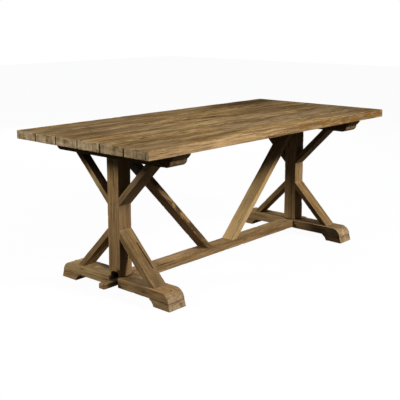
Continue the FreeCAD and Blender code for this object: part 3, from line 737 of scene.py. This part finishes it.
# Paler spots are given by Y and Z on the brace's side with the smaller X. Overside are the slopes at which
# painted shade begins to lie and lies fully.
braceLook = {
    "ease": 0.0020, "chips": 0.0045, "wavy": 0.0006, "step": 0.012, "ends": (0.0012, 0.0012),
    "cut": 0.041, "bury": 0.0012, "belly": {"brace_left_lower_front": 0.007},
    "paintedShade": 0.75, "overside": (0.3, 0.8), "headHighlight": 0.9, "highlightReach": 0.004,
    "tinted": {"brace_left_upper_rear": [(0.135, 0.552), (0.108, 0.526)]}, "rubbedSize": 0.040,
    "rubbedPale": 1.3,
}


# Board between a level cut and an upright cut, both at 45 degrees to it. A belly swells the side that faces
# the corner by half a sine wave.
def shortBrace(side, level, end, seed, tone):
    node = f"brace_{side}_{level}_{end}"
    look = braceLook
    low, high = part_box(node)
    sign = -1 if end == "front" else 1
    reach = max(abs(low.y), abs(high.y))
    if level == "lower":
        up, tip, face = 1, high.z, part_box("foot_" + side)[1].z
    else:
        up, tip, face = -1, low.z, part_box("bearer_" + side)[0].z
    cut, bury = look["cut"], look["bury"]
    levelCut = face - up * bury
    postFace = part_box("post_" + side)[1].y - bury
    flat = [(sign * (reach - cut + bury), levelCut), (sign * (reach + bury), levelCut)]
    upright = [(sign * postFace, tip - up * (cut - bury)), (sign * postFace, tip + up * bury)]
    share = np.linspace(0, 1, 9)[:, None]
    inside, outside = (np.array(one) + share * np.subtract(two, one) for one, two in zip(flat, upright))
    swell = look["belly"].get(node, 0) * np.sin(np.pi * share) / 2 ** 0.5
    inside = inside + swell * (-sign, -up)
    keys = [[(low.x, *i), (high.x, *i), (high.x, *o), (low.x, *o)] for i, o in zip(inside, outside)]
    board = loftBoard(keys, look, seed, look["ends"])

    def shadeAndPale(points, normals):  # painted shade under the top on the upper braces' upper sides, a painted highlight at the lower ones' heads
        over = ramp(normals[:, 2], *look["overside"]) * (level == "upper") * look["paintedShade"]
        fromPost = np.abs(points[:, 1]) - postFace
        pale = np.exp(-fromPost / look["highlightReach"]) * (level == "lower") * look["headHighlight"]
        for y, z in look["tinted"].get(node, []):
            gap = np.linalg.norm(points - (low.x, y, z), axis=1)
            pale = np.maximum(pale, look["rubbedPale"] * np.exp(-(gap / look["rubbedSize"]) ** 2))
        return np.stack([pale, over, 0 * over], 1)

    makePiece(node, [board], frameFinish, tone, shadeAndPale)


# Painted light and painted shade begin and are full at two heights, and flakes begin to come off and are
# full at two distances from a height. Front are the slopes at which a surface turns to the front.
longBraceLook = {
    "ease": 0.0020, "chips": 0.0045, "wavy": 0.0006, "step": 0.012, "ends": (0.0004, 0.0004),
    "cut": 0.041, "bury": 0.004, "front": (0.5, 1.0), "dull": {"left": 0.45, "right": 0.0},
    "paintedLightAt": (0.62, 0.22), "pale": {"left": 0.0, "right": 0.6},
    "paintedShadeAt": (0.46, 0.58), "paintedShade": {"left": 1.2, "right": 0.0},
    "peelRound": 0.33, "peelAt": (0.325, 0.075), "peel": {"left": 1.0, "right": 0.0},
}


# Board in the XZ plane from the stretcher's top into the corner of post and bearer.
def longBrace(side, seed, tone):
    node = "long_brace_" + side
    look = longBraceLook
    low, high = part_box(node)
    out = -1 if side == "left" else 1
    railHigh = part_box("stretcher")[1]
    half, top = railHigh.y, railHigh.z
    toe = min(abs(low.x), abs(high.x))
    bury, cut = look["bury"], look["cut"]
    postInner = min(abs(corner.x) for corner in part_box("post_" + side))
    bearerInner = min(abs(corner.x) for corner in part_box("bearer_" + side))
    slope = (high.z - top) / (bearerInner - toe)
    heel = top + slope * (postInner - toe - cut)
    back, rise = bury / slope, bury * slope
    start = [(out * (toe - back), top - bury), (out * (toe + cut - back), top - bury)]
    stop = [(out * (bearerInner + bury), high.z + rise), (out * (postInner + bury), heel + rise)]
    keys = [[(a[0], -half, a[1]), (a[0], half, a[1]), (b[0], half, b[1]), (b[0], -half, b[1])]
            for a, b in (start, stop)]
    board = loftBoard(keys, look, seed, look["ends"])

    def tinted(points, normals):  # one brace has painted light towards its foot, the other is dull, flaked and has painted shade near its top
        height = points[:, 2]
        front = ramp(-normals[:, 1], *look["front"])
        pale = ramp(height, *look["paintedLightAt"]) * look["pale"][side]
        paintedShade = ramp(height, *look["paintedShadeAt"]) * look["paintedShade"][side]
        peeled = front * ramp(np.abs(height - look["peelRound"]), *look["peelAt"]) * look["peel"][side]
        return np.stack([pale, np.maximum(front * look["dull"][side], paintedShade), peeled], 1)

    makePiece(node, [board], frameFinish, tone, tinted)


# Spots of painted shade and painted light on the tongue: how far in from the end of the CAD tongue, the
# heights over the rail's underside, the size and the amount. More is what the tongue reaches beyond the CAD
# one.
stretcherLook = {
    "ease": 0.0025, "chips": 0.0050, "wavy": 0.0006, "step": 0.012, "bury": 0.0005,
    "railEnds": (0.0004, 0.0004), "tongueEnds": (0.0004, 0.003), "tongueHalf": 0.021, "tongueLow": 0.002,
    "tongueHigh": 0.026, "tongueRound": 0.012, "tongueMore": 0.014, "tongueRoot": 0.01,
    "tongueSideShade": (0.050, (0.004, 0.022), 0.016, 0.6), "tongueTopShade": (0.075, (0.026,), 0.022, 3.0),
    "tinted": (0.036, (0.026,), 0.022, 1.3),
}


# Rail along X between the feet. A flat tongue, whose corners are quarter circles, runs out at each end.
def stretcher(seed, tone):
    look = stretcherLook
    low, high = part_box("stretcher")
    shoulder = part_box("foot_right")[0].x
    axes = ((0, 0, low.z), (1, 0, 0), (0, 1, 0))
    rail = [boxQuad(0, x, low.yz, high.yz) for x in (-shoulder - look["bury"], shoulder + look["bury"])]
    surfaces = [loftBoard(rail, look, seed, look["railEnds"], axes)]
    half, corner = look["tongueHalf"], look["tongueRound"]
    bottom, top = low.z + look["tongueLow"], low.z + look["tongueHigh"]
    endX = high.x + look["tongueMore"] - corner * (1 - np.sin(quarter))
    endY = half - corner * (1 - np.cos(quarter))
    stations = [(shoulder - look["tongueRoot"], half), *zip(endX, endY)]
    for sign in (-1, 1):
        keys = [boxQuad(0, sign * x, (-y, bottom), (y, top)) for x, y in stations]
        surfaces.append(loftBoard(keys, look, seed, look["tongueEnds"], axes))

    def spots(y, kind):  # the same spots on both tongues
        setIn, rises, size, amount = look[kind]
        places = [(sign * (high.x - setIn), low.z + rise) for sign in (-1, 1) for rise in rises]
        return [(x, y, z, size, amount) for x, z in places]

    # Painted shade on the tongue's front side and on its top by the post, and painted light on its front
    # side.
    wash = spotWash(spots(-half, "tongueSideShade") + spots(0, "tongueTopShade"), spots(-half, "tinted"))
    makePiece("stretcher", surfaces, frameFinish, tone, wash)


for index, side in enumerate(("left", "right")):
    seed = 100 + 50 * index
    tones = pieceTones[side]
    batten(side, seed, tones["batten"])
    bearer(side, seed + 1, tones["bearer"])
    post(side, seed + 2, tones["post"])
    foot(side, seed + 3, tones["foot"])
    longBrace(side, seed + 4, tones["longBrace"])
    for place, end in enumerate(("front", "rear")):
        footPad(side, end, seed + 6 + place, tones["pad"])
        shortBrace(side, "lower", end, seed + 10 + place, tones["lower"])
        shortBrace(side, "upper", end, seed + 20 + place, tones["upper"])
stretcher(90, pieceTones["stretcher"])
print("trestles and stretcher made")


# Pegs and hardware keep their CAD shapes.
pegLook = {
    "noise": ((260, 260, 260), 3.0, 0.55), "dark": (0.025, 0.015, 0.008), "light": (0.090, 0.056, 0.028),
    "bump": 0.4, "depth": 0.0006, "rough": 0.6, "roughSpots": 0.3, "shine": 0.1,
}


def pegPaint():
    paint = Paint(bpy.data.materials.new("dark pegs"))
    spots = paint.noise(paint.node("TexCoord", {}, {}, "Object"), *pegLook["noise"])
    tint = paint.mix(spots, colour(*pegLook["dark"]), colour(*pegLook["light"]))
    inputs = {"Strength": pegLook["bump"], "Distance": pegLook["depth"], "Height": spots}
    bump = paint.node("Bump", {}, inputs)
    rough = spots * pegLook["roughSpots"] + pegLook["rough"]
    inputs = {"Base Color": tint, "Roughness": rough, "Normal": bump, "Specular IOR Level": pegLook["shine"]}
    return paint.finish(paint.node("BsdfPrincipled", {}, inputs))


metalLook = {
    "noise": ((180, 180, 180), 4.0, 0.55), "levels": (0.4, 0.7), "rough": 0.25, "roughSpots": 0.4,
    "zinc steel": ((0.50, 0.50, 0.51), (0.24, 0.22, 0.20)),
    "plain brass": ((0.60, 0.46, 0.24), (0.36, 0.26, 0.13)),
}


def metalPaint(name):
    paint = Paint(bpy.data.materials.new(name))
    spots = paint.noise(paint.node("TexCoord", {}, {}, "Object"), *metalLook["noise"])
    light, dull = metalLook[name]
    tint = paint.mix(spots.between(*metalLook["levels"]), colour(*light), colour(*dull))
    rough = spots * metalLook["roughSpots"] + metalLook["rough"]
    inputs = {"Base Color": tint, "Roughness": rough, "Metallic": 1.0}
    return paint.finish(paint.node("BsdfPrincipled", {}, inputs))


pegs = pegPaint()
steel = metalPaint("zinc steel")
brass = metalPaint("plain brass")
kept = {
    "pad_pegs": pegs, "brace_pegs": pegs, "tongue_peg": pegs,
    "batten_screws": steel, "bearer_bolts": steel, "bolt_inserts": brass,
}
for name, material in kept.items():
    for side in ("left", "right"):
        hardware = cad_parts[f"{name}_{side}"]
        hardware.data.materials.clear()
        hardware.data.materials.append(material)
print("pegs and hardware painted")


# Floor and light.
floorLook = {
    "size": 30.0, "seen": 1.0, "shade": 0.04, "shadeColour": (0.9, 0.9, 0.9), "bounce": (0.05, 0.047, 0.044),
}
lightLook = {
    "front": 226.0, "frontFrom": (0.78, -3.60, 2.85), "frontSize": 0.8,
    "side": 208.0, "sideFrom": (-4.35, 2.35, 2.98), "sideSize": 1.3,
    "rear": 110.0, "rearFrom": (3.2, 4.2, 1.4), "rearSize": 2.4,
    "aim": (0, 0, 0.45), "sky": 0.112, "skyColour": (0.80, 0.96, 1.24),
}


def shownWhite(paint):  # 1 where the camera looks, straight, by a reflection or through something
    kinds = ("Is Camera Ray", "Is Glossy Ray", "Is Transmission Ray")
    straight, mirrored, through = (paint.node("LightPath", {}, {}, kind) for kind in kinds)
    return (straight + mirrored + through).math("MINIMUM", 1.0)


def floorPaint():  # white with a faint shadow where it is seen, and dark for the light on the table
    paint = Paint(bpy.data.materials.new("pale floor"))
    plain = paint.node("BsdfDiffuse", {}, {"Color": colour(*floorLook["bounce"])})
    pale = paint.node("BsdfDiffuse", {}, {"Color": colour(*floorLook["shadeColour"])})
    white = paint.node("Emission", {}, {"Color": colour(1, 1, 1), "Strength": floorLook["seen"]})
    front = paint.node("MixShader", {}, {0: floorLook["shade"], 1: white, 2: pale})
    return paint.finish(paint.node("MixShader", {}, {0: shownWhite(paint), 1: plain, 2: front}))


def studioSky():  # white where it is seen, and a dim bluish light on the table
    paint = Paint(bpy.data.worlds.new("studio"))
    inputs = {"Color": colour(*lightLook["skyColour"]), "Strength": lightLook["sky"]}
    dim = paint.node("Background", {}, inputs)
    white = paint.node("Background", {}, {"Color": colour(1, 1, 1), "Strength": 1.0})
    shader = paint.node("MixShader", {}, {0: shownWhite(paint), 1: dim, 2: white})
    return paint.finish(shader, "OutputWorld")


def softLamp(kind):
    place = Vector(lightLook[kind + "From"])
    lamp = bpy.data.lights.new(kind + " softbox", "AREA")
    lamp.energy = lightLook[kind]
    lamp.shape = "DISK"
    lamp.size = lightLook[kind + "Size"]
    thing = bpy.data.objects.new(lamp.name, lamp)
    thing.location = place
    thing.rotation_euler = (Vector(lightLook["aim"]) - place).to_track_quat("-Z", "Y").to_euler()
    bpy.context.scene.collection.objects.link(thing)


half = floorLook["size"] / 2
floorMesh = bpy.data.meshes.new("floor")
floorCorners = [(-half, -half, 0), (half, -half, 0), (half, half, 0), (-half, half, 0)]
floorMesh.from_pydata(floorCorners, [], [(0, 1, 2, 3)])
floorMesh.materials.append(floorPaint())
floor = bpy.data.objects.new("floor", floorMesh)
bpy.context.scene.collection.objects.link(floor)
bpy.context.scene.world = studioSky()
for kind in ("front", "side", "rear"):
    softLamp(kind)
print("floor and light set")


# Camera. Its focal length and the middle of the view are in pixels of a square frame.
cameraLook = {
    "place": (-3.107, -2.677, 1.301), "yaw": 41.41, "pitch": -10.55, "focal": 779.9,
    "middle": (208.7, 160.0), "frame": 400, "sensor": 36.0,
}
camera = bpy.data.cameras.new("camera")
camera.sensor_width = cameraLook["sensor"]
camera.lens = cameraLook["sensor"] * cameraLook["focal"] / cameraLook["frame"]
camera.shift_x = 0.5 - cameraLook["middle"][0] / cameraLook["frame"]
camera.shift_y = cameraLook["middle"][1] / cameraLook["frame"] - 0.5
cameraThing = bpy.data.objects.new("camera", camera)
cameraThing.location = cameraLook["place"]
yaw, pitch = np.radians([cameraLook["yaw"], cameraLook["pitch"]])
heading = Vector((np.cos(pitch) * np.cos(yaw), np.cos(pitch) * np.sin(yaw), np.sin(pitch)))
cameraThing.rotation_euler = heading.to_track_quat("-Z", "Y").to_euler()
bpy.context.scene.collection.objects.link(cameraThing)
bpy.context.scene.camera = cameraThing
bpy.context.scene.view_settings.view_transform = "Standard"
print("camera set")
